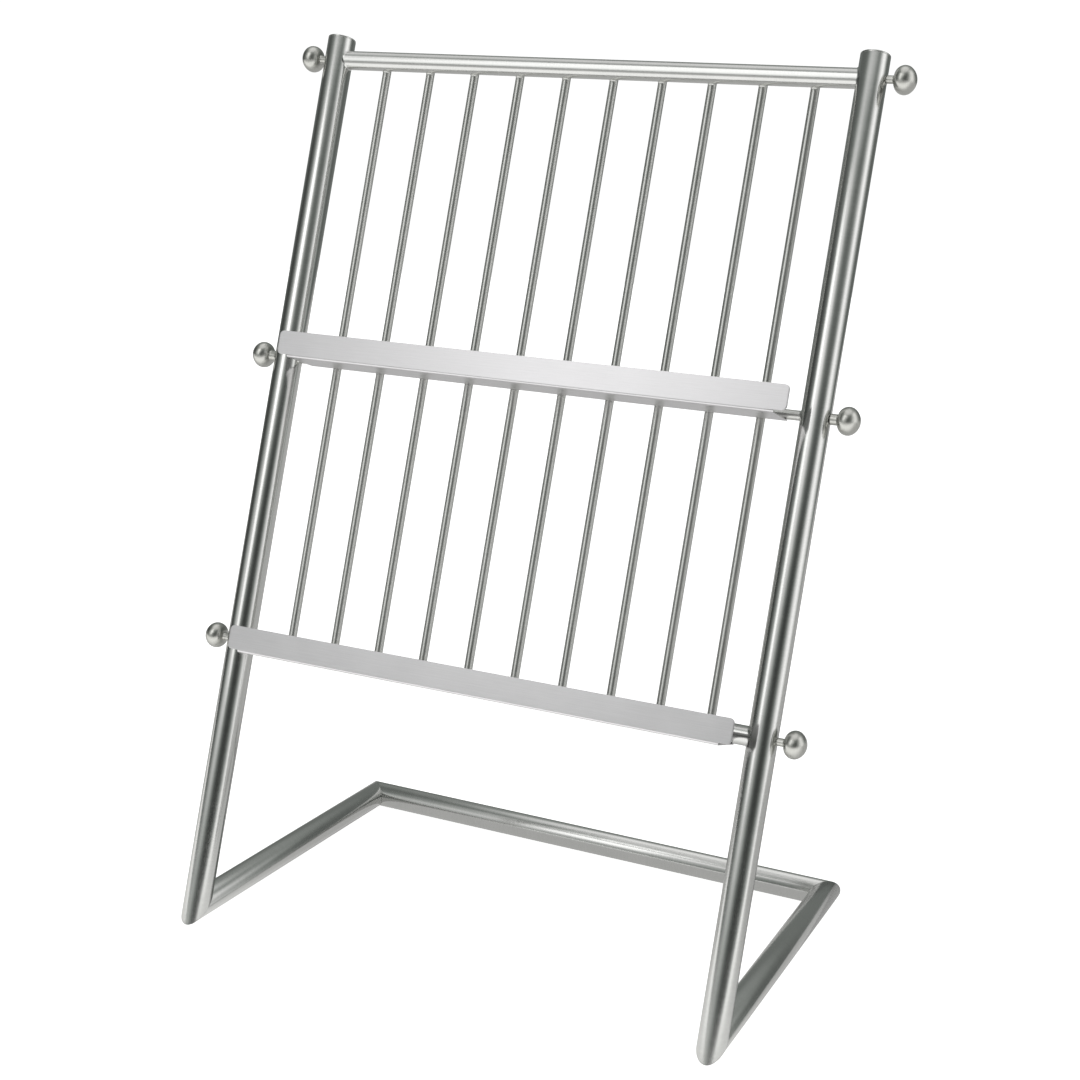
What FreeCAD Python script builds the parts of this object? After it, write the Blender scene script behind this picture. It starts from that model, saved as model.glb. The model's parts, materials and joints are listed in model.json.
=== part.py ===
import FreeCAD, Part
import math
import os

# Free-standing two-tier leaning rack of round stainless steel tube, in millimetres.
# X runs across the rack, Y from front to back, Z up.
# The origin is on the floor, in the middle of the rack's footprint.

# ---- driving dimensions --------------------------------------------------------------
upright_spacing = 606.0      # between the two uprights' axes
lean_angle = 17.0            # uprights lean back from the vertical, in degrees
base_depth = 373.0           # from the uprights' foot to the rear floor tube's axis
upright_length = 968.0       # along the upright, from its foot to the top of its cap

tube_diameter = 30.0         # uprights and floor tubes
tube_wall = 1.5

rail_diameter = 20.0         # top and bottom rails, drawn tube
rail_wall = 1.5
bar_diameter = 10.0          # middle rail, solid bar
top_rail_height = 944.0      # along the upright, from its foot
middle_rail_height = 611.0
bottom_rail_height = 296.0

rod_count = 10
rod_diameter = 9.0
rod_pitch = 54.4
rod_weld_sink = 0.5          # how deep a rod is sunk in the middle rail by its weld
rod_end_setback = 2.0        # a rod stops this far short of the rails' axes

shelf_sheet = 1.2
shelf_depth = 47.0           # from the rail's axis to the front face of the lip
shelf_lip_height = 28.0
shelf_lip_width = 574.0
shelf_floor_width = 548.0
shelf_back_edge = 3.0        # the floor reaches this far behind the rail's axis
shelf_bend_radius = 1.5      # inside the fold
lip_corner_radius = 5.0

knob_diameter = 28.0
knob_thickness = 24.0
knob_crown_radius = 10.0     # small arc over the ball's widest place
knob_reach = 32.5            # from the upright's axis to the middle of the ball
knob_throat = 1.5            # how far the neck flares before it meets the ball
rail_neck_diameter = 8.0     # necks of the top and bottom knobs
bar_neck_diameter = 11.0     # necks of the middle knobs
knob_seat_gap = 0.3          # between a knob's shoulder and its upright
thread_diameter = 6.0
thread_fit = 0.05            # radial clearance of a screw shank in a tapped hole
shank_clearance = 0.4        # radial clearance of a screw shank in an upright
shank_engagement = 14.0      # how far a screw shank reaches into a rail
tap_extra_depth = 3.0        # a tapped hole goes this much deeper

plug_length = 24.0           # tapped plug inside each end of a rail tube
plug_setback = 1.0           # between the plug and the upright

cap_lip = 2.0                # visible disc of an upright's end cap
cap_spigot = 12.0
cap_edge_round = 1.2

# ---- derived sizes -------------------------------------------------------------------
lean = math.radians(lean_angle)
half_spacing = upright_spacing / 2
tube_radius = tube_diameter / 2
rail_radius = rail_diameter / 2
bar_radius = bar_diameter / 2
rod_radius = rod_diameter / 2
rod_setback = bar_radius + rod_radius - rod_weld_sink
foot_nose = tube_radius / math.tan((math.pi / 2 - lean) / 2)      # mitre's point, in front
top_overhang = upright_length * math.sin(lean) + tube_radius * math.cos(lean)
rear_reach = max(base_depth + tube_radius, top_overhang)
foot_y = (foot_nose - rear_reach) / 2                             # uprights' feet
rear_y = foot_y + base_depth                                      # rear floor tube's axis
across = FreeCAD.Vector(1, 0, 0)
backward = FreeCAD.Vector(0, 1, 0)
up_the_panel = FreeCAD.Vector(0, math.sin(lean), math.cos(lean))
out_of_panel = FreeCAD.Vector(0, -math.cos(lean), math.sin(lean))
SIDES = {"left": -1, "right": 1}
LEVELS = {"top": top_rail_height, "middle": middle_rail_height, "bottom": bottom_rail_height}


def on_panel(x, height, forward=0.0):
    """Point at x across, height along the uprights and forward of their axes."""
    foot = FreeCAD.Vector(x, foot_y, tube_radius)
    return foot + up_the_panel * height + out_of_panel * forward


def bar(start, end, radius):
    """Solid round bar from start to end."""
    axis = end - start
    return Part.makeCylinder(radius, axis.Length, start, axis)


def half_space(point, normal, size):
    """Large block whose face passes through point, on the side that normal points to."""
    block = Part.makeBox(size, size, size, FreeCAD.Vector(-size / 2, -size / 2, 0))
    turn = FreeCAD.Rotation(FreeCAD.Vector(0, 0, 1), normal)
    block.Placement = FreeCAD.Placement(point, turn)
    return block


def hollow(start, end, radius, wall):
    """Round tube from start to end."""
    outer = bar(start, end, radius)
    reach = (end - start).normalize() * radius
    return outer.cut(bar(start - reach, end + reach, radius - wall))


def upright_core(side, extra=0.0):
    """Solid cylinder on an upright's axis, a little thicker than it if asked."""
    x = side * half_spacing
    start = on_panel(x, -tube_diameter)
    end = on_panel(x, upright_length + tube_diameter)
    return bar(start, end, tube_radius + extra)


def foot_mitre(side, keep):
    """Block on one side of the mitre between an upright and its floor tube.

    keep is 1 for the upright's side and -1 for the floor tube's side."""
    normal = (up_the_panel - backward) * keep
    foot = FreeCAD.Vector(side * half_spacing, foot_y, tube_radius)
    return half_space(foot, normal, 2 * upright_length)


def rear_mitre(side, keep):
    """Block on one side of the rear corner's mitre.

    keep is 1 for the side floor tube's side and -1 for the rear tube's side."""
    normal = FreeCAD.Vector(side, -1, 0) * keep
    corner = FreeCAD.Vector(side * half_spacing, rear_y, tube_radius)
    return half_space(corner, normal, 2 * upright_spacing)


def cross_hole(side, height, radius):
    """Drill along X through one upright at a given height along it."""
    x = side * half_spacing
    start = on_panel(x - tube_diameter, height)
    end = on_panel(x + tube_diameter, height)
    return bar(start, end, radius)


def build_upright(side):
    """Leaning tube, mitred at its foot, with a clearance hole for each knob's shank."""
    x = side * half_spacing
    start = on_panel(x, -2 * tube_diameter)
    end = on_panel(x, upright_length - cap_lip)
    tube = hollow(start, end, tube_radius, tube_wall)
    tube = tube.common(foot_mitre(side, 1))
    for height in LEVELS.values():
        tube = tube.cut(cross_hole(side, height, thread_diameter / 2 + shank_clearance))
    return tube


def build_upright_cap(side):
    """Flush end cap: a disc on a spigot that fills the tube's bore."""
    x = side * half_spacing
    shoulder = upright_length - cap_lip
    disc = bar(on_panel(x, shoulder), on_panel(x, upright_length), tube_radius)
    rim = [edge for edge in disc.Edges if far_edge(edge, x)]
    disc = disc.makeFillet(min(cap_edge_round, 0.9 * cap_lip), rim)
    spigot = bar(on_panel(x, shoulder - cap_spigot), on_panel(x, shoulder), tube_radius - tube_wall)
    return disc.fuse(spigot).removeSplitter()


def far_edge(edge, x):
    """True for the circle round the very top of an upright's cap."""
    top = on_panel(x, upright_length)
    is_circle = isinstance(edge.Curve, Part.Circle)
    return is_circle and (edge.Curve.Center - top).Length < 0.01


def build_side_tube(side):
    """Floor tube from an upright's foot back to the rear corner, mitred at both ends."""
    x = side * half_spacing
    start = FreeCAD.Vector(x, foot_y - 2 * tube_diameter, tube_radius)
    end = FreeCAD.Vector(x, rear_y + 2 * tube_diameter, tube_radius)
    tube = hollow(start, end, tube_radius, tube_wall)
    tube = tube.common(foot_mitre(side, -1))
    return tube.common(rear_mitre(side, 1))


def build_rear_tube():
    """Floor tube across the back, mitred at both ends."""
    reach = half_spacing + 2 * tube_diameter
    start = FreeCAD.Vector(-reach, rear_y, tube_radius)
    end = FreeCAD.Vector(reach, rear_y, tube_radius)
    tube = hollow(start, end, tube_radius, tube_wall)
    for side in SIDES.values():
        tube = tube.common(rear_mitre(side, -1))
    return tube


def between_uprights(height, radius, wall=None):
    """Rail along X whose ends are coped to seat on the uprights."""
    start = on_panel(-half_spacing, height)
    end = on_panel(half_spacing, height)
    if wall is None:
        rail = bar(start, end, radius)
    else:
        rail = hollow(start, end, radius, wall)
    for side in SIDES.values():
        rail = rail.cut(upright_core(side))
    return rail


def build_tube_rail(height):
    """Top or bottom rail: a tube coped between the uprights."""
    return between_uprights(height, rail_radius, rail_wall)


def build_middle_rail():
    """Thin solid rail, coped between the uprights and tapped at both ends."""
    rail = between_uprights(middle_rail_height, bar_radius)
    for side in SIDES.values():
        rail = rail.cut(tapped_hole(side, middle_rail_height))
    return rail


def tapped_hole(side, height):
    """Bore for a knob's screw shank in the end of a rail."""
    outer = side * half_spacing
    depth = tube_radius + shank_engagement + tap_extra_depth
    inner = side * (half_spacing - depth)
    radius = thread_diameter / 2 + thread_fit
    return bar(on_panel(inner, height), on_panel(outer, height), radius)


def build_plug(side, height):
    """Tapped plug that fills the end of a rail tube."""
    outer = side * half_spacing
    inner = side * (half_spacing - tube_radius - plug_length)
    plug = bar(on_panel(inner, height), on_panel(outer, height), rail_radius - rail_wall)
    plug = plug.cut(upright_core(side, plug_setback))
    return plug.cut(tapped_hole(side, height))


def build_rod(index):
    """Round rod behind the middle rail, its ends shaped to the top and bottom rails."""
    x = (index - (rod_count - 1) / 2) * rod_pitch
    low = bottom_rail_height + rod_end_setback
    high = top_rail_height - rod_end_setback
    rod = bar(on_panel(x, low, -rod_setback), on_panel(x, high, -rod_setback), rod_radius)
    for height, radius in (
        (top_rail_height, rail_radius),
        (middle_rail_height, bar_radius),
        (bottom_rail_height, rail_radius),
    ):
        rail = bar(on_panel(x - rod_pitch, height), on_panel(x + rod_pitch, height), radius)
        rod = rod.cut(rail)
    return rod


def plate(x, forward, height, width, depth, thickness):
    """Block centred on x, from forward to forward + depth, from height up by thickness."""
    block = Part.makeBox(width, depth, thickness, FreeCAD.Vector(-width / 2, -depth, 0))
    place = on_panel(x, height, forward)
    block.Placement = FreeCAD.Placement(place, FreeCAD.Rotation(across, -lean_angle))
    return block


def build_shelf(rail_height, radius):
    """Folded sheet: a narrow floor under the rail and a wider lip with round corners."""
    underside = rail_height - radius - shelf_sheet
    floor_depth = shelf_depth + shelf_back_edge
    floor = plate(0, -shelf_back_edge, underside, shelf_floor_width, floor_depth, shelf_sheet)
    lip_back = shelf_depth - shelf_sheet
    lip = plate(0, lip_back, underside, shelf_lip_width, shelf_sheet, shelf_lip_height)
    corners = [edge for edge in lip.Edges if runs_forward(edge)]
    lip = lip.makeFillet(lip_corner_radius, corners)
    sheet = floor.fuse(lip).removeSplitter()
    inner_fold = [edge for edge in sheet.Edges if in_the_fold(edge, underside)]
    return sheet.makeFillet(shelf_bend_radius, inner_fold)


def runs_forward(edge):
    """True for an edge that runs through the sheet of a lip."""
    direction = edge.tangentAt(edge.FirstParameter)
    return abs(direction.dot(out_of_panel)) > 0.99


def in_the_fold(edge, underside):
    """True for the inside edge where a shelf's floor meets its lip."""
    corner = on_panel(0, underside + shelf_sheet, shelf_depth - shelf_sheet)
    middle = edge.CenterOfMass
    runs_across = abs(edge.tangentAt(edge.FirstParameter).x) > 0.99
    return runs_across and (middle - corner).Length < 0.5


def build_knob(side, height, neck_diameter):
    """Turned knob in one piece: screw shank, neck, flared throat and flattened ball.

    The ball's outline is a small arc over its crown that runs into a large arc at its nose."""
    neck_radius = neck_diameter / 2
    ball_radius = knob_diameter / 2
    half_thickness = knob_thickness / 2
    shank_radius = thread_diameter / 2
    tip = -(tube_radius + shank_engagement)
    seat = tube_radius + knob_seat_gap

    crown_middle = FreeCAD.Vector(knob_reach, ball_radius - knob_crown_radius, 0)
    rise = crown_middle.y ** 2 - knob_crown_radius ** 2
    nose_radius = (half_thickness ** 2 + rise) / (2 * (half_thickness - knob_crown_radius))
    nose = FreeCAD.Vector(knob_reach + half_thickness, 0, 0)
    nose_middle = FreeCAD.Vector(nose.x - nose_radius, 0, 0)
    blend_way = (crown_middle - nose_middle).normalize()
    blend = nose_middle + blend_way * nose_radius
    half_way = math.atan2(blend_way.y, blend_way.x) / 2
    nose_shoulder = nose_middle + FreeCAD.Vector(math.cos(half_way), math.sin(half_way), 0) * nose_radius

    throat_radius = neck_radius + knob_throat
    throat_depth = math.sqrt(knob_crown_radius ** 2 - (throat_radius - crown_middle.y) ** 2)
    throat = FreeCAD.Vector(knob_reach - throat_depth, throat_radius, 0)
    bend = (1 - math.sqrt(0.5)) * knob_throat
    flare_middle = FreeCAD.Vector(throat.x - bend, neck_radius + bend, 0)
    crown = FreeCAD.Vector(knob_reach, ball_radius, 0)
    corners = [
        FreeCAD.Vector(tip, 0, 0),
        FreeCAD.Vector(tip, shank_radius, 0),
        FreeCAD.Vector(seat, shank_radius, 0),
        FreeCAD.Vector(seat, neck_radius, 0),
        FreeCAD.Vector(throat.x - knob_throat, neck_radius, 0),
    ]
    outline = [Part.makeLine(a, b) for a, b in zip(corners[:-1], corners[1:])]
    outline.append(Part.Arc(corners[-1], flare_middle, throat).toShape())
    outline.append(Part.Arc(throat, crown, blend).toShape())
    outline.append(Part.Arc(blend, nose_shoulder, nose).toShape())
    outline.append(Part.makeLine(nose, corners[0]))
    knob = Part.Face(Part.Wire(outline)).revolve(FreeCAD.Vector(0, 0, 0), across, 360)
    if side < 0:
        knob.rotate(FreeCAD.Vector(0, 0, 0), FreeCAD.Vector(0, 0, 1), 180)
    knob.translate(on_panel(side * half_spacing, height))
    return knob


def build_all():
    """Every piece of the rack, by node name."""
    pieces = {}
    for name, side in SIDES.items():
        pieces["upright_" + name] = build_upright(side)
        pieces["upright_cap_" + name] = build_upright_cap(side)
        pieces["floor_tube_" + name] = build_side_tube(side)
    pieces["floor_tube_rear"] = build_rear_tube()
    pieces["top_rail"] = build_tube_rail(top_rail_height)
    pieces["middle_rail"] = build_middle_rail()
    pieces["bottom_rail"] = build_tube_rail(bottom_rail_height)
    for index in range(rod_count):
        pieces["back_rod_%02d" % (index + 1)] = build_rod(index)
    pieces["shelf_middle"] = build_shelf(middle_rail_height, bar_radius)
    pieces["shelf_bottom"] = build_shelf(bottom_rail_height, rail_radius)
    for name, side in SIDES.items():
        for level, height in LEVELS.items():
            neck = bar_neck_diameter if level == "middle" else rail_neck_diameter
            pieces["knob_%s_%s" % (level, name)] = build_knob(side, height, neck)
            if level != "middle":
                pieces["rail_plug_%s_%s" % (level, name)] = build_plug(side, height)
    return pieces


def main():
    os.makedirs("parts", exist_ok=True)
    for name, shape in build_all().items():
        if not shape.isValid():
            raise ValueError(name + " is not a valid solid")
        shape.exportStep("parts/%s.step" % name)
        print("%-24s %9.0f mm3 %d solid(s)" % (name, shape.Volume, len(shape.Solids)))


main()
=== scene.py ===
import json
import math

import bpy
import numpy as np
from mathutils import Matrix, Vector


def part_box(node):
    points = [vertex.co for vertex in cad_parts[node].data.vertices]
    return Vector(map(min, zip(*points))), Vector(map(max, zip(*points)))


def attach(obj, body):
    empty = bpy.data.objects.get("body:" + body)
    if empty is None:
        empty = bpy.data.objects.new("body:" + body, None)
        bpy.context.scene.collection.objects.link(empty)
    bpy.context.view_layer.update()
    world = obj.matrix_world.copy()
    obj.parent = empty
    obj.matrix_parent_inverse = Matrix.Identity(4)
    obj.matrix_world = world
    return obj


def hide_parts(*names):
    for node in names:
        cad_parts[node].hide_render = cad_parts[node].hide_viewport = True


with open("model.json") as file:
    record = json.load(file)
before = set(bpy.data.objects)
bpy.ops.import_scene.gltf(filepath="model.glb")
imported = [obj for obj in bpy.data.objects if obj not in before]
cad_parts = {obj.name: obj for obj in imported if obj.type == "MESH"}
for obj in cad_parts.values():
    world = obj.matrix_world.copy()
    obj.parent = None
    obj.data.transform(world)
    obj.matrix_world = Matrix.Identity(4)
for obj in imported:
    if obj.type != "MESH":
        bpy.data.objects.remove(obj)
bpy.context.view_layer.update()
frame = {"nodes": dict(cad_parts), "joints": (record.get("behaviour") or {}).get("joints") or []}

# A free-standing leaning rack of satin stainless steel. Lengths are in metres.
# X runs across the rack, Y from front to back, Z up.

# ---- sizes of the pieces ---------------------------------------------------------------
TUBE_WALL = 0.0015
CAP_TOP = 0.968              # top of an upright's cap, along the upright from its foot
CAP_LIP = 0.002
CAP_ROUND = 0.0012
CAP_DOME = 0.0004            # how far the cap's middle stands proud of its rim
MITRE_EASE = 0.00035         # rounded edge at the mitred joints
SEAT_SINK = 0.0001           # how far a welded end reaches into what it is welded to

ROD_SETBACK = 0.0090         # rods' axes behind the rails' axes
ROD_END_SETBACK = 0.002
ROD_WELD = 0.0010            # how far a weld spreads round the end of a rod
ROD_WELD_LENGTH = 0.0026
RAIL_WELD = 0.0009
RAIL_WELD_LENGTH = 0.0018

SHEET = 0.0012
SHELF_DEPTH = 0.047
SHELF_BACK_EDGE = 0.003
LIP_HEIGHT = 0.028
LIP_CORNER = 0.005
BEND_INSIDE = 0.0015
SHEET_EDGE = 0.00025
FLOOR_WIDTH = 0.548

KNOB_RADIUS = 0.014
KNOB_HALF_THICKNESS = 0.012
KNOB_CROWN = 0.010
KNOB_REACH = 0.0325
KNOB_THROAT = 0.0015
KNOB_SEAT = 0.0153
SHANK_RADIUS = 0.003
SHANK_START = 0.0141
NECK_RADIUS = {"top": 0.004, "middle": 0.0055, "bottom": 0.004}

SIDES = {"left": -1, "right": 1}
LEVELS = ("top", "middle", "bottom")
ACROSS = np.array([1.0, 0.0, 0.0])
BACK = np.array([0.0, 1.0, 0.0])
VERTICAL = np.array([0.0, 0.0, 1.0])
FULL_TURN = 2 * math.pi


# ---- places read from the frame ----------------------------------------------------------
def half_size(node, axis):
    """Half of a node's extent along X, Y or Z (0, 1 or 2)."""
    low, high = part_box(node)
    return (high[axis] - low[axis]) / 2


PIVOTS = {joint["child"]: np.array(joint["pos_m"]) for joint in frame["joints"]}
TUBE_RADIUS = half_size("upright_left", 0)
HALF_SPACING = PIVOTS["knob_top_right"][0]
UP = PIVOTS["knob_top_left"] - PIVOTS["knob_bottom_left"]
UP = UP / np.linalg.norm(UP)
OUT = np.array([0.0, -UP[2], UP[1]])
FOOT_Y = (PIVOTS["knob_bottom_left"] - UP * (PIVOTS["knob_bottom_left"][2] - TUBE_RADIUS) / UP[2])[1]
REAR_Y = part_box("floor_tube_rear")[1][1] - TUBE_RADIUS
RAIL_RADIUS = {level: half_size(level + "_rail", 1) for level in LEVELS}
RAIL_HEIGHT = {
    level: (PIVOTS["knob_%s_left" % level][2] - TUBE_RADIUS) / UP[2] for level in LEVELS
}
ROD_NODES = sorted(name for name in frame["nodes"] if name.startswith("back_rod_"))


def on_panel(x, height, forward=0.0):
    """Point at x across, height along the uprights and forward of their axes.

    Point = foot + height times the uprights' direction + forward times the panel's normal."""
    x, height, forward = np.broadcast_arrays(x, height, forward)
    foot = x[..., None] * ACROSS + np.array([0.0, FOOT_Y, TUBE_RADIUS])
    return foot + height[..., None] * UP + forward[..., None] * OUT


# ---- surfaces -----------------------------------------------------------------------------
def net(rows, columns, wrap_rows=False, wrap_columns=False):
    """Four corners of each cell of a rows by columns grid of points, numbered row by row."""
    row = np.arange(rows if wrap_rows else rows - 1)[:, None]
    column = np.arange(columns if wrap_columns else columns - 1)[None, :]
    next_row = (row + 1) % rows
    next_column = (column + 1) % columns
    corners = (row * columns + column, row * columns + next_column,
               next_row * columns + next_column, next_row * columns + column)
    return np.stack([np.broadcast_to(c, (row.size, column.size)).ravel() for c in corners], axis=1)


def add_piece(name, points, faces, grain, material, body, nodes):
    """Makes one mesh object from points and faces and hangs it on a body of the frame."""
    mesh = bpy.data.meshes.new(name)
    mesh.from_pydata(points.reshape(-1, 3).tolist(), [], faces)
    along = mesh.attributes.new("grain", "FLOAT_VECTOR", "POINT")
    along.data.foreach_set("vector", grain.reshape(-1, 3).astype(np.float32).ravel())
    mesh.shade_smooth()
    mesh.set_sharp_from_angle(angle=math.radians(38))
    mesh.materials.append(material)
    piece = bpy.data.objects.new(name, mesh)
    bpy.context.scene.collection.objects.link(piece)
    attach(piece, body)
    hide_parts(*nodes)
    return piece


def carry(origin, direction, first, radii, stations, turns):
    """Points of a profile carried round an axis, and the same points in the axis's own frame.

    Point = origin + radius (cos a first + sin a second) + station along the direction.
    stations is a function of the sideways offsets, so an end can follow another surface."""
    second = np.cross(direction, first)
    angle = np.arange(turns) * FULL_TURN / turns
    ring = np.cos(angle)[:, None] * first + np.sin(angle)[:, None] * second
    offset = radii[:, None, None] * ring[None, :, :]
    station = stations(offset)
    points = origin + offset + station[..., None] * direction
    grain = np.stack([
        radii[:, None] * np.cos(angle),
        radii[:, None] * np.sin(angle),
        station,
    ], axis=-1)
    return points, grain


def capped(points, grain, first_centre, last_centre):
    """Closes a carried profile with a fan at each end; returns points, faces and grain."""
    rows, turns = points.shape[:2]
    cells = net(rows, turns, wrap_columns=True).tolist()
    start = rows * turns
    around = np.arange(turns)
    after = (around + 1) % turns
    last = (rows - 1) * turns
    fans = np.concatenate([
        np.stack([np.full(turns, start), after, around], axis=1),
        np.stack([np.full(turns, start + 1), last + around, last + after], axis=1),
    ]).tolist()
    points = np.concatenate([points.reshape(-1, 3), [first_centre, last_centre]])
    middle = np.array([[0.0, 0.0, grain[0, 0, 2]], [0.0, 0.0, grain[-1, 0, 2]]])
    grain = np.concatenate([grain.reshape(-1, 3), middle])
    return points, cells + fans, grain


def pipe(name, origin, direction, first, start, end, turns=96):
    """Tube wall: a closed ring of profile points carried round the tube's axis.

    Each profile point has a radius and stands a little in from one of the two ends, whose
    places are functions of the sideways offset: start(offset) and end(offset)."""
    inner = TUBE_RADIUS - TUBE_WALL
    ease = MITRE_EASE
    profile = np.array([
        (TUBE_RADIUS - ease, 0, 0.0),
        (TUBE_RADIUS - 0.3 * ease, 0, 0.3 * ease),
        (TUBE_RADIUS, 0, ease),
        (TUBE_RADIUS, 1, -ease),
        (TUBE_RADIUS - 0.3 * ease, 1, -0.3 * ease),
        (TUBE_RADIUS - ease, 1, 0.0),
        (inner, 1, 0.0),
        (inner, 0, 0.0),
    ])

    def stations(offset):
        at_end = profile[:, 1][:, None]
        place = start(offset) * (1 - at_end) + end(offset) * at_end
        return place + profile[:, 2][:, None]

    points, grain = carry(origin, direction, first, profile[:, 0], stations, turns)
    faces = net(len(profile), turns, True, True).tolist()
    return add_piece(name + "_skin", points, faces, grain, TUBE_STEEL, "frame", [name])


def welded_bar(name, origin, direction, first, radius, start, end, weld, reach, material, turns):
    """Round bar whose ends follow other surfaces, with a weld that flares at each end.

    Radius = bar's radius + weld (1 - d / reach) squared, with d the distance from the end."""
    depth = reach * np.array([0.0, 0.15, 0.35, 0.6, 1.0])
    swell = weld * (1 - depth / reach) ** 2
    radii = radius + np.concatenate([swell, swell[::-1]])
    inset = np.concatenate([depth, -depth[::-1]])
    at_end = np.repeat([0.0, 1.0], len(depth))

    def stations(offset):
        place = start(offset) * (1 - at_end[:, None]) + end(offset) * at_end[:, None]
        return place + inset[:, None]

    points, grain = carry(origin, direction, first, radii, stations, turns)
    centres = [origin + direction * station.mean() for station in (grain[0, :, 2], grain[-1, :, 2])]
    points, faces, grain = capped(points, grain, *centres)
    return add_piece(name + "_skin", points, faces, grain, material, "frame", [name])


def turned(name, origin, axis, profile, material, body, node, turns):
    """Solid of revolution: profile points (place along the axis, radius) from pole to pole."""
    first = VERTICAL if axis[2] < 0.5 else ACROSS
    first = first - axis * first.dot(axis)
    first = first / np.linalg.norm(first)
    rings = profile[1:-1]
    points, grain = carry(
        origin, axis, first, rings[:, 1], lambda offset: np.repeat(rings[:, :1], turns, axis=1), turns
    )
    poles = [origin + axis * place for place in (profile[0, 0], profile[-1, 0])]
    points, faces, grain = capped(points, grain, *poles)
    ring_grain = np.stack([np.hypot(grain[:, 0], grain[:, 1]), grain[:, 2], 0 * grain[:, 2]], axis=1)
    return add_piece(name, points, faces, ring_grain, material, body, [node])


def arc(centre, radius, from_angle, to_angle, steps):
    """Points (along, radius) of a circular arc in a profile's own plane."""
    angle = np.linspace(from_angle, to_angle, steps)
    return np.stack([centre[0] + radius * np.cos(angle), centre[1] + radius * np.sin(angle)], axis=1)


# ---- shader maths --------------------------------------------------------------------------
class Wire:
    """An output socket on which ordinary arithmetic adds Math nodes."""

    def __init__(self, graph, socket):
        self.graph = graph
        self.socket = socket

    def maths(self, operation, *values):
        inputs = dict(enumerate(values))
        return self.graph.put("ShaderNodeMath", {"operation": operation}, inputs)

    def __add__(self, other):
        return self.maths("ADD", self, other)

    def __radd__(self, other):
        return self.maths("ADD", other, self)

    def __sub__(self, other):
        return self.maths("SUBTRACT", self, other)

    def __rsub__(self, other):
        return self.maths("SUBTRACT", other, self)

    def __mul__(self, other):
        return self.maths("MULTIPLY", self, other)

    def __rmul__(self, other):
        return self.maths("MULTIPLY", other, self)

    def __truediv__(self, other):
        return self.maths("DIVIDE", self, other)

    def __pow__(self, other):
        return self.maths("POWER", self, other)


class Graph:
    """A node tree that is filled by one method."""

    def __init__(self, tree):
        self.tree = tree
        tree.nodes.clear()

    def put(self, kind, settings=None, inputs=None, output=0):
        """Adds a node of a kind, sets its settings, then its sockets; returns one output."""
        node = self.tree.nodes.new(kind)
        for setting, value in (settings or {}).items():
            setattr(node, setting, value)
        for socket, value in (inputs or {}).items():
            if isinstance(value, Wire):
                self.tree.links.new(value.socket, node.inputs[socket])
            else:
                node.inputs[socket].default_value = value
        return Wire(self, node.outputs[output]) if node.outputs else None

    def blend(self, factor, low, high):
        """Colour between low and high."""
        return self.put(
            "ShaderNodeMix", {"data_type": "RGBA"}, {0: factor, 6: low, 7: high}, output=2
        )

    def fade(self, value, low, high):
        """0 below low, 1 above high, smooth between."""
        settings = {"interpolation_type": "SMOOTHSTEP"}
        return self.put("ShaderNodeMapRange", settings, {0: value, 1: low, 2: high, 3: 0.0, 4: 1.0})

    def noise(self, vector, scale, detail=2.0, roughness=0.5):
        """Noise from 0 to 1 at a number of lumps per unit of the vector."""
        inputs = {"Vector": vector, "Scale": scale, "Detail": detail, "Roughness": roughness}
        return self.put("ShaderNodeTexNoise", {}, inputs)

    def stretch(self, vector, factors):
        """Vector times a factor on each axis."""
        return self.put("ShaderNodeVectorMath", {"operation": "MULTIPLY"}, {0: vector, 1: factors})


def steel(name, dark, light, roughness, spread, fine, coarse, relief):
    """Satin stainless steel with a grain that follows the piece.

    fine and coarse are the grain's lumps per metre on the three axes of the piece's own grain
    vector, so long low-frequency axes draw the scratches out. Colour runs between dark and
    light with slow clouds, and roughness swings by spread about its middle."""
    material = bpy.data.materials.new(name)
    material.use_nodes = True
    graph = Graph(material.node_tree)
    grain = graph.put("ShaderNodeAttribute", {"attribute_name": "grain"}, output="Vector")
    place = graph.put("ShaderNodeTexCoord", output="Object")
    scratch = graph.noise(graph.stretch(grain, fine), 1.0, 3.0, 0.6)
    streak = graph.noise(graph.stretch(grain, coarse), 1.0, 2.0, 0.5)
    cloud = graph.noise(place, 22.0, 3.0, 0.55)
    tone = graph.fade(0.45 * scratch + 0.25 * streak + 0.3 * cloud, 0.3, 0.7)
    rough = roughness + spread * (streak - 0.5) + 1.2 * spread * (cloud - 0.5)
    bump = graph.put("ShaderNodeBump", {}, {
        "Strength": relief,
        "Distance": 0.00004,
        "Height": 0.7 * scratch + 0.3 * streak,
    })
    shader = graph.put("ShaderNodeBsdfPrincipled", {}, {
        "Base Color": graph.blend(tone, (*dark, 1.0), (*light, 1.0)),
        "Metallic": 1.0,
        "Roughness": rough,
        "Normal": bump,
    })
    graph.put("ShaderNodeOutputMaterial", {}, {"Surface": shader})
    return material


TUBE_STEEL = steel(
    "satin_tube", (0.60, 0.605, 0.59), (0.68, 0.68, 0.665), 0.17, 0.06,
    (260.0, 260.0, 5200.0), (60.0, 60.0, 900.0), 0.10,
)
ROD_STEEL = steel(
    "satin_bar", (0.58, 0.585, 0.56), (0.67, 0.67, 0.65), 0.34, 0.08,
    (300.0, 300.0, 5200.0), (80.0, 80.0, 1100.0), 0.12,
)
SHEET_STEEL = steel(
    "brushed_sheet", (0.67, 0.66, 0.67), (0.76, 0.75, 0.76), 0.33, 0.08,
    (45.0, 4200.0, 10.0), (9.0, 700.0, 10.0), 0.22,
)
KNOB_STEEL = steel(
    "turned_steel", (0.52, 0.52, 0.49), (0.62, 0.62, 0.59), 0.30, 0.06,
    (2600.0, 2600.0, 10.0), (700.0, 700.0, 10.0), 0.10,
)


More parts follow.
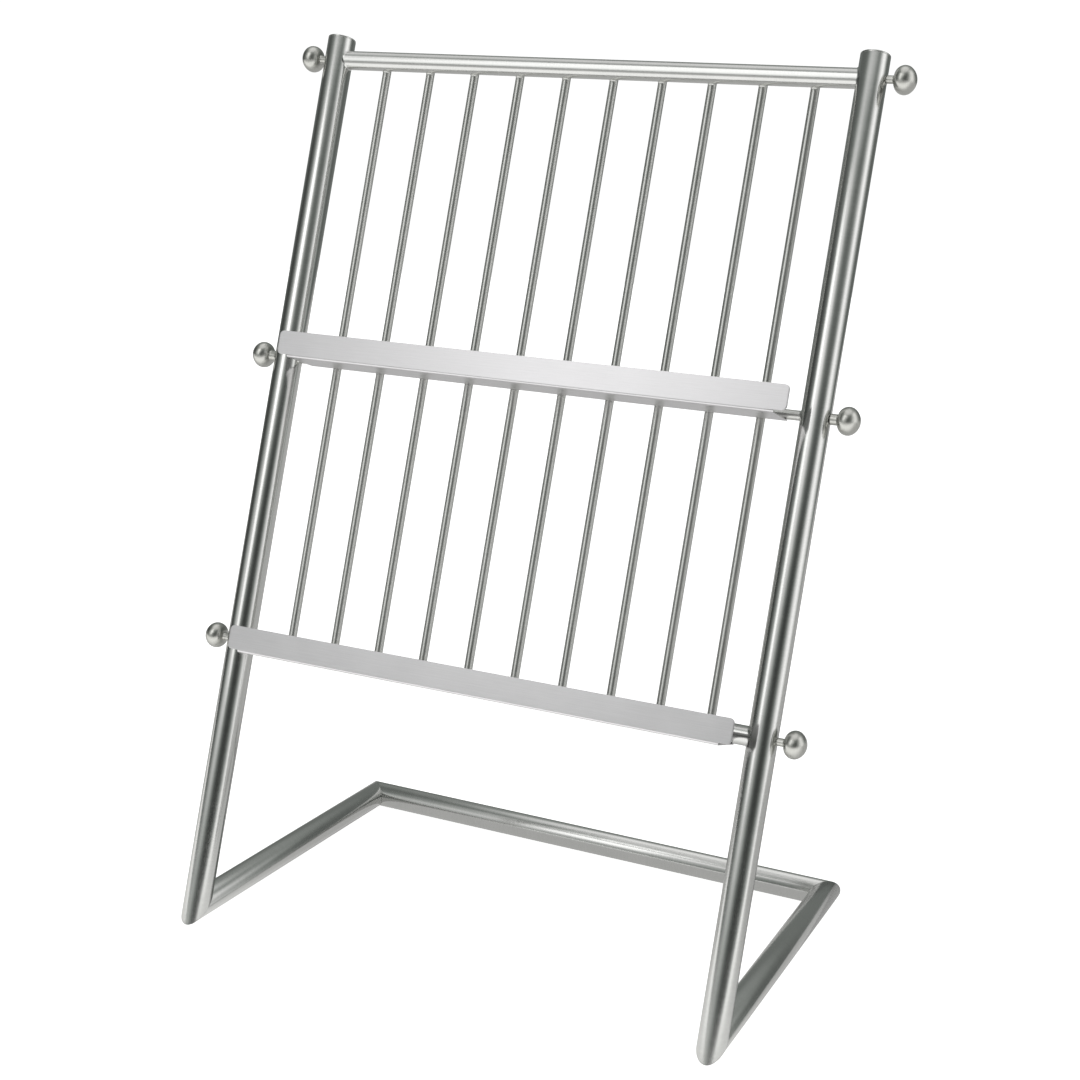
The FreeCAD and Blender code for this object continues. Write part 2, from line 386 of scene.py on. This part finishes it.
# ---- uprights, floor tubes and caps ---------------------------------------------------------
def foot_plane(direction):
    """Where a generator along direction meets the mitre plane between upright and floor tube.

    The plane holds the foot and has the normal UP - BACK, so station = -offset.n / direction.n."""
    normal = UP - BACK
    return lambda offset: -(offset @ normal) / direction.dot(normal)


def rear_plane(direction, side):
    """Where a generator along direction meets the upright 45 degree plane of a rear corner."""
    normal = side * ACROSS - BACK
    return lambda offset: -(offset @ normal) / direction.dot(normal)


def level_at(station):
    """An end that is square across, at one station."""
    return lambda offset: np.full(offset.shape[:2], station)


def shifted(plane, station):
    """The same plane moved along the axis by a station."""
    return lambda offset: plane(offset) + station


base_depth = REAR_Y - FOOT_Y
for side_name, side in SIDES.items():
    foot = on_panel(side * HALF_SPACING, 0.0)
    pipe("upright_" + side_name, foot, UP, ACROSS, foot_plane(UP), level_at(CAP_TOP - CAP_LIP))
    rear_end = shifted(rear_plane(BACK, side), base_depth)
    pipe("floor_tube_" + side_name, foot, BACK, VERTICAL, foot_plane(BACK), rear_end)
    inside = TUBE_RADIUS - TUBE_WALL - 0.0002
    shoulder = CAP_TOP - CAP_LIP
    rim_centre = (CAP_TOP - CAP_ROUND, TUBE_RADIUS - CAP_ROUND)
    dome = np.array([(CAP_TOP + CAP_DOME * (1 - share ** 2), share * (TUBE_RADIUS - CAP_ROUND))
                     for share in (0.75, 0.5, 0.25, 0.0)])
    cap_profile = np.concatenate([
        [(shoulder - 0.012, 0.0), (shoulder - 0.012, inside), (shoulder, inside)],
        [(shoulder, TUBE_RADIUS - 0.0004), (shoulder + 0.0003, TUBE_RADIUS)],
        arc(rim_centre, CAP_ROUND, 0.5 * math.pi, 0.0, 7),
        dome,
    ])
    turned("upright_cap_%s_skin" % side_name, foot, UP, cap_profile, TUBE_STEEL, "frame",
           "upright_cap_" + side_name, 96)

rear_middle = np.array([0.0, REAR_Y, TUBE_RADIUS])
pipe("floor_tube_rear", rear_middle, ACROSS, BACK,
     shifted(rear_plane(ACROSS, -1), -HALF_SPACING), shifted(rear_plane(ACROSS, 1), HALF_SPACING))


# ---- rails and rods --------------------------------------------------------------------------
def seat_on_upright(side):
    """Where a generator along X meets an upright: x = spacing - sqrt(R^2 - b^2), b off its plane."""
    def station(offset):
        forward = offset @ OUT
        gap = np.sqrt(np.maximum(TUBE_RADIUS ** 2 - forward ** 2, 0.0))
        return side * (HALF_SPACING - gap + SEAT_SINK)
    return station


def seat_under_rail(level, way):
    """Where a generator up the panel meets a rail: its height less sqrt(r^2 - b^2).

    A generator that passes behind the rail stops ROD_END_SETBACK short of the rail's axis."""
    def station(offset):
        forward = offset @ OUT - ROD_SETBACK
        gap = np.sqrt(np.maximum(RAIL_RADIUS[level] ** 2 - forward ** 2, 0.0)) - SEAT_SINK
        return RAIL_HEIGHT[level] - way * np.maximum(gap, ROD_END_SETBACK)
    return station


for level in LEVELS:
    middle = on_panel(0.0, RAIL_HEIGHT[level])
    thin = level == "middle"
    welded_bar(
        level + "_rail", middle, ACROSS, UP, RAIL_RADIUS[level],
        seat_on_upright(-1), seat_on_upright(1), RAIL_WELD, RAIL_WELD_LENGTH,
        ROD_STEEL if thin else TUBE_STEEL, 64,
    )

for node in ROD_NODES:
    low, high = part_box(node)
    welded_bar(
        node, on_panel((low[0] + high[0]) / 2, 0.0, -ROD_SETBACK), UP, ACROSS, (high[0] - low[0]) / 2,
        seat_under_rail("bottom", -1), seat_under_rail("top", 1), ROD_WELD, ROD_WELD_LENGTH,
        ROD_STEEL, 40,
    )


# ---- shelves ----------------------------------------------------------------------------------
def fold(run):
    """Place (forward, height above the underside) of a point at a run along the folded sheet.

    Straight along the floor, a quarter circle of the mid-sheet radius, then straight up the lip."""
    radius = BEND_INSIDE + SHEET / 2
    flat = SHELF_BACK_EDGE + SHELF_DEPTH - SHEET / 2 - radius
    turn = np.clip(run - flat, 0.0, radius * math.pi / 2) / radius
    rise = np.maximum(run - flat - radius * math.pi / 2, 0.0)
    forward = -SHELF_BACK_EDGE + np.minimum(run, flat) + radius * np.sin(turn)
    height = SHEET / 2 + radius * (1 - np.cos(turn)) + rise
    return forward, height


def shelf(name, level):
    """Folded shelf: a floor and a lip cut from one flat blank, with round corners on the lip.

    The middle of the blank is a plain grid. Each ear of the lip is a grid whose rows run from
    the floor's edge out to a half width that follows a quarter circle at both corners."""
    lip_half = half_size(name, 0)
    floor_half = FLOOR_WIDTH / 2
    radius = BEND_INSIDE + SHEET / 2
    flat = SHELF_BACK_EDGE + SHELF_DEPTH - SHEET / 2 - radius
    lip_start = flat + radius * math.pi / 2
    lip_end = lip_start + LIP_HEIGHT - SHEET / 2 - radius
    quarter = np.linspace(0.0, math.pi / 2, 7)
    rise = LIP_CORNER * (1 - np.cos(quarter))
    pull = LIP_CORNER * (1 - np.sin(quarter))
    between = np.linspace(lip_start + LIP_CORNER, lip_end - LIP_CORNER, 4)[1:-1]
    lip_runs = np.concatenate([lip_start + rise, between, lip_end - rise[::-1]])
    lip_pull = np.concatenate([pull, 0 * between, pull[::-1]])
    bend_runs = np.linspace(flat, lip_start, 8)
    runs = np.concatenate([np.linspace(0.0, flat, 8)[:-1], bend_runs[:-1], lip_runs])
    underside = RAIL_HEIGHT[level] - RAIL_RADIUS[level] - SHEET

    def grid(x, run):
        x, run = np.broadcast_arrays(x, run)
        forward, height = fold(run)
        points = on_panel(x, underside + height, forward)
        return points, np.stack([x, run, 0 * x], axis=-1)

    columns = np.linspace(-floor_half, floor_half, 49)
    share = np.linspace(0.0, 1.0, 9)
    reach = floor_half + (lip_half - lip_pull - floor_half)[:, None] * share[None, :]
    parts = [
        grid(columns[None, :], runs[:, None]),
        grid(reach, lip_runs[:, None]),
        grid(-reach[:, ::-1], lip_runs[:, None]),
    ]
    faces = []
    count = 0
    for points, _ in parts:
        faces += (net(*points.shape[:2]) + count).tolist()
        count += points.shape[0] * points.shape[1]
    points = np.concatenate([part[0].reshape(-1, 3) for part in parts])
    grain = np.concatenate([part[1].reshape(-1, 3) for part in parts])
    # points that the three grids share are one point
    _, first, same = np.unique(np.round(points, 7), axis=0, return_index=True, return_inverse=True)
    faces = same.reshape(-1)[np.array(faces)].tolist()
    piece = add_piece(name + "_skin", points[first], faces, grain[first], SHEET_STEEL,
                      "frame", [name])
    wall = piece.modifiers.new("sheet", "SOLIDIFY")
    wall.thickness = SHEET
    wall.offset = 0.0
    edge = piece.modifiers.new("edge", "BEVEL")
    edge.width = SHEET_EDGE
    edge.segments = 2
    edge.limit_method = "ANGLE"
    edge.angle_limit = math.radians(50)
    return piece


shelf("shelf_middle", "middle")
shelf("shelf_bottom", "bottom")


# ---- knobs ------------------------------------------------------------------------------------
def knob_profile(neck):
    """Outline of a turned knob, from its shank to the middle of its nose.

    A straight neck, a quarter-circle flare, a small arc over the crown and a large arc at the
    nose whose centre makes it meet the small one smoothly."""
    crown = (KNOB_REACH, KNOB_RADIUS - KNOB_CROWN)
    rise = crown[1] ** 2 - KNOB_CROWN ** 2
    nose_radius = (KNOB_HALF_THICKNESS ** 2 + rise) / (2 * (KNOB_HALF_THICKNESS - KNOB_CROWN))
    nose_centre = (KNOB_REACH + KNOB_HALF_THICKNESS - nose_radius, 0.0)
    blend = math.atan2(crown[1], crown[0] - nose_centre[0])
    throat = neck + KNOB_THROAT
    depth = math.sqrt(KNOB_CROWN ** 2 - (throat - crown[1]) ** 2)
    flare = arc((KNOB_REACH - depth - KNOB_THROAT, throat), KNOB_THROAT, -math.pi / 2, 0.0, 9)
    return np.concatenate([
        [(SHANK_START, 0.0), (SHANK_START, SHANK_RADIUS), (KNOB_SEAT, SHANK_RADIUS)],
        [(KNOB_SEAT, neck - 0.0003), (KNOB_SEAT + 0.0003, neck)],
        flare,
        arc(crown, KNOB_CROWN, math.atan2(throat - crown[1], -depth), blend, 30)[1:],
        arc(nose_centre, nose_radius, blend, 0.0, 16)[1:],
    ])


for level in LEVELS:
    for side_name, side in SIDES.items():
        node = "knob_%s_%s" % (level, side_name)
        turned(node + "_skin", PIVOTS[node], side * ACROSS, knob_profile(NECK_RADIUS[level]),
               KNOB_STEEL, node, node, 72)

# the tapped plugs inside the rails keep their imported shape
for node in frame["nodes"]:
    if node.startswith("rail_plug_"):
        plug = frame["nodes"][node]
        plug.data.materials.clear()
        plug.data.materials.append(ROD_STEEL)


# ---- floor and light -----------------------------------------------------------------------------
CAMERA_AZIMUTH = math.radians(22.184)
CAMERA_ELEVATION = math.radians(15.386)
CAMERA_ROLL = math.radians(3.091)
CAMERA_X = 0.74972
CAMERA_TO_FOOT = 1.34448
CAMERA_HEIGHT = 0.84144
CAMERA_LENS = 54.649
CAMERA_SHIFT = (-0.091667, 0.055556)

FLOOR_RADIUS = 9.0
FLOOR_INNER_RADIUS = 0.2
FLOOR_RINGS = 12
FLOOR_TURNS = 96
FLOOR_DROP = 0.0006          # how far the floor lies under the tubes, so the faces never meet
SOFT_BOX_CENTRE = (-0.75, -1.65, 1.68)
SOFT_BOX_TARGET = (0.0, 0.0, 0.5)
SOFT_BOX_WIDTH = 0.7
SOFT_BOX_HEIGHT = 1.85
SOFT_BOX_POWER = 3.1
toward_camera = np.array([math.sin(CAMERA_AZIMUTH), -math.cos(CAMERA_AZIMUTH), 0.0])
camera_right = np.array([math.cos(CAMERA_AZIMUTH), math.sin(CAMERA_AZIMUTH), 0.0])


def stage_floor():
    """Flat round floor: rings of points at growing radii about the rack."""
    radii = np.concatenate([[0.001], np.geomspace(FLOOR_INNER_RADIUS, FLOOR_RADIUS, FLOOR_RINGS)])
    points, _ = carry(np.array([0.0, 0.0, -FLOOR_DROP]), VERTICAL, ACROSS, radii,
                      level_at(0.0), FLOOR_TURNS)
    faces = net(len(radii), FLOOR_TURNS, wrap_columns=True)[:, ::-1].tolist()
    mesh = bpy.data.meshes.new("studio_floor")
    mesh.from_pydata(points.reshape(-1, 3).tolist(), [], faces)
    material = bpy.data.materials.new("pale_floor")
    material.use_nodes = True
    graph = Graph(material.node_tree)
    place = graph.put("ShaderNodeTexCoord", output="Object")
    ahead = graph.put("ShaderNodeVectorMath", {"operation": "DOT_PRODUCT"},
                      {0: place, 1: (0.0, -1.0, 0.0)}, output="Value")
    # Painted light and shade for reflections and bounced light: the floor glows brighter in a band from
    # about 0.5 to 1.5 m in front of the rack, a painted pool of light, and stays dim under and behind the
    # rack as painted shade.
    painted_light_band = graph.fade(ahead, -0.10, 0.50) * (1.0 - graph.fade(ahead, 1.5, 2.1))
    painted_floor_light_and_shade = 0.55 + 0.75 * painted_light_band
    seen = graph.put("ShaderNodeLightPath", output="Is Camera Ray")
    paint = graph.put("ShaderNodeBsdfDiffuse", {}, {"Color": (0.8, 0.8, 0.8, 1.0)})
    bright = graph.put("ShaderNodeEmission", {}, {"Color": (1.0, 1.0, 1.0, 1.0), "Strength": 0.85})
    pale = graph.put("ShaderNodeAddShader", {}, {0: paint, 1: bright})
    # Reflections and bounced light see this painted light and shade instead of a lit floor; the camera
    # sees the evenly pale floor.
    bounce = graph.put("ShaderNodeEmission", {}, {"Color": (1.0, 1.0, 0.99, 1.0), "Strength": painted_floor_light_and_shade})
    shader = graph.put("ShaderNodeMixShader", {}, {0: seen, 1: bounce, 2: pale})
    graph.put("ShaderNodeOutputMaterial", {}, {"Surface": shader})
    mesh.materials.append(material)
    floor = bpy.data.objects.new("studio_floor", mesh)
    bpy.context.scene.collection.objects.link(floor)


def studio_light():
    """Soft studio round the rack: two tall soft panels, a bright ceiling and a dim front.

    Brightness is a sum of bell curves of the direction's azimuth and steps of its elevation."""
    world = bpy.data.worlds.new("studio")
    bpy.context.scene.world = world
    world.use_nodes = True
    graph = Graph(world.node_tree)
    direction = graph.put("ShaderNodeTexCoord", output="Generated")

    def along(axis):
        inputs = {0: direction, 1: tuple(axis)}
        return graph.put("ShaderNodeVectorMath", {"operation": "DOT_PRODUCT"}, inputs, output="Value")

    aside = along(camera_right)
    azimuth = aside.maths("ARCTAN2", aside, along(toward_camera))
    height = along(VERTICAL)
    elevation = height.maths("ARCSINE", height)

    # the panels lean, so their middles move to the right as they rise
    leaned = azimuth - math.radians(13.0) * graph.fade(elevation, 0.30, 0.65)

    def bell(middle, width):
        offset = (leaned - math.radians(middle)) / math.radians(width)
        square = offset * offset
        return square.maths("EXPONENT", -1.0 * square)

    left_level = 0.40 + 0.40 * graph.fade(elevation, 0.06, 0.30) + 0.45 * graph.fade(elevation, 0.45, 0.80)
    left_panel = left_level * bell(-52.0, 27.0)
    right_panel = 1.3 * bell(73.0, 27.0)
    front = 0.05 + 0.12 * graph.fade(elevation, 0.40, 0.75)
    back = 0.16 * graph.fade(azimuth.maths("ABSOLUTE", azimuth), 1.75, 2.7)
    ceiling = 0.80 * graph.fade(elevation, 0.85, 1.2)
    sides = (left_panel + right_panel) * (1.0 - graph.fade(elevation, 0.7, 1.1))
    level = sides + front + back + ceiling
    tint = graph.blend(graph.fade(level, 0.1, 0.9), (0.93, 1.0, 0.95, 1.0), (1.0, 1.0, 1.0, 1.0))
    room = graph.put("ShaderNodeBackground", {}, {"Color": tint, "Strength": level})
    blank = graph.put("ShaderNodeBackground", {}, {"Color": (1.0, 1.0, 1.0, 1.0), "Strength": 1.05})
    seen = graph.put("ShaderNodeLightPath", output="Is Camera Ray")
    shader = graph.put("ShaderNodeMixShader", {}, {0: seen, 1: room, 2: blank})
    graph.put("ShaderNodeOutputWorld", {}, {"Surface": shader})


def soft_box(name, centre, target, width, height, power):
    """Upright rectangular lamp that faces a target; only its light and its reflection show."""
    away = np.array(centre) - np.array(target)
    away = away / np.linalg.norm(away)
    right = np.cross(VERTICAL, away)
    right = right / np.linalg.norm(right)
    data = bpy.data.lights.new(name, "AREA")
    data.shape = "RECTANGLE"
    data.size = width
    data.size_y = height
    data.energy = power
    lamp = bpy.data.objects.new(name, data)
    matrix = np.eye(4)
    matrix[:3, 0] = right
    matrix[:3, 1] = np.cross(away, right)
    matrix[:3, 2] = away
    matrix[:3, 3] = centre
    lamp.matrix_world = Matrix(matrix.tolist())
    lamp.visible_camera = False
    bpy.context.scene.collection.objects.link(lamp)


def camera():
    """Camera on the azimuth and elevation of the view, rolled a little about its own axis."""
    forward = (-toward_camera * math.cos(CAMERA_ELEVATION) - VERTICAL * math.sin(CAMERA_ELEVATION))
    above = np.cross(camera_right, forward)
    right = math.cos(CAMERA_ROLL) * camera_right + math.sin(CAMERA_ROLL) * above
    top = math.cos(CAMERA_ROLL) * above - math.sin(CAMERA_ROLL) * camera_right
    data = bpy.data.cameras.new("camera")
    data.lens = CAMERA_LENS
    data.sensor_width = 36.0
    data.shift_x, data.shift_y = CAMERA_SHIFT
    data.clip_start = 0.05
    data.clip_end = 50.0
    view = bpy.data.objects.new("camera", data)
    matrix = np.eye(4)
    matrix[:3, 0] = right
    matrix[:3, 1] = top
    matrix[:3, 2] = -forward
    matrix[:3, 3] = (CAMERA_X, FOOT_Y - CAMERA_TO_FOOT, CAMERA_HEIGHT)
    view.matrix_world = Matrix(matrix.tolist())
    bpy.context.scene.collection.objects.link(view)
    bpy.context.scene.camera = view


stage_floor()
studio_light()
soft_box("soft_box_left", SOFT_BOX_CENTRE, SOFT_BOX_TARGET,
         SOFT_BOX_WIDTH, SOFT_BOX_HEIGHT, SOFT_BOX_POWER)
camera()
bpy.context.scene.view_settings.view_transform = "Standard"
